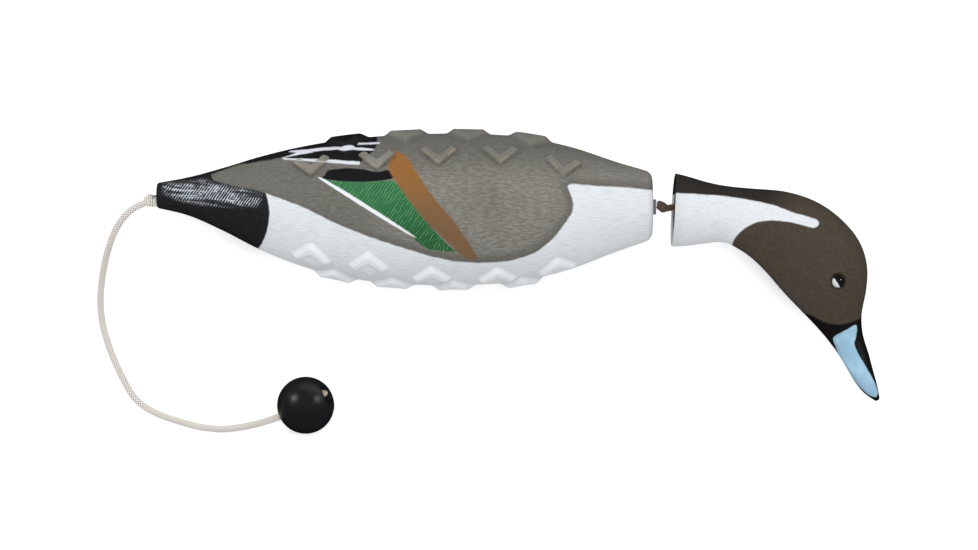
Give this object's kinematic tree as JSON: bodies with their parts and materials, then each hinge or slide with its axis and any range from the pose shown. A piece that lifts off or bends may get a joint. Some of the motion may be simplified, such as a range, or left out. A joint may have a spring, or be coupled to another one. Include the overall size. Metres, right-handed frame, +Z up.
{
  "type": "retriever training dummy",
  "caption": "Duck-shaped floating retriever dummy: soft foam body with grip lugs, hard head swinging on a knotted cord, braided throw cord with a ball.",
  "frame": {"origin": "on the surface that the dummy lies on, under the middle of the box round its body and head", "axes": "+X from tail to bill, +Y from belly to back, +Z up out of the right flank: the dummy lies on its left flank"},
  "size_m": [0.5526, 0.2151, 0.0962],
  "materials": {
    "painted_foam": "moulded closed-cell foam with matte paint: grey back and flanks, white belly and breast, black tail, green and brown wing bars",
    "painted_head": "moulded hard plastic with matte paint: dark brown head, white neck stripe, pale blue bill",
    "plug_plastic": "moulded black plastic",
    "grey_plastic": "moulded grey plastic",
    "steel_washer": "plain steel",
    "throw_braid": "braided cream cord, 5 mm",
    "link_braid": "braided brown cord, 5 mm",
    "glossy_eye": "glossy dark eye with a pale crescent",
    "black_ball": "satin black moulded ball"
  },
  "bodies": {
    "root": {"body_foam": "painted_foam", "core_tube": "grey_plastic", "tail_grommet": "grey_plastic", "neck_grommet": "grey_plastic", "core_cord": "throw_braid", "tail_knot": "throw_braid", "throw_cord": "throw_braid", "ball_knot": "throw_braid"},
    "knot": {"neck_knot": "link_braid"},
    "link": {"neck_cord": "link_braid", "head_stop_knot": "link_braid"},
    "head": {"head_shell": "painted_head", "head_plug": "plug_plastic", "head_washer": "steel_washer", "eye_right": "glossy_eye", "eye_left": "glossy_eye"},
    "ball": {"throw_ball": "black_ball"}
  },
  "joints": [
    {"name": "head_nod", "type": "hinge", "parent": "root", "child": "knot", "pos_m": [0.0997, 0.0403, 0.048], "axis": [0, 0, 1], "range_deg": [-25, 25]},
    {"name": "head_sway", "type": "hinge", "parent": "knot", "child": "link", "pos_m": [0.0997, 0.0403, 0.048], "axis": [0, 1, 0], "range_deg": [-25, 25]},
    {"name": "head_twist", "type": "hinge", "parent": "link", "child": "head", "pos_m": [0.0997, 0.0403, 0.048], "axis": [1, 0, 0], "continuous": true},
    {"name": "ball_spin", "type": "hinge", "parent": "root", "child": "ball", "pos_m": [-0.1505, -0.0996, 0.0202], "axis": [0.8472, 0.4321, 0.3091], "continuous": true}
  ]
}
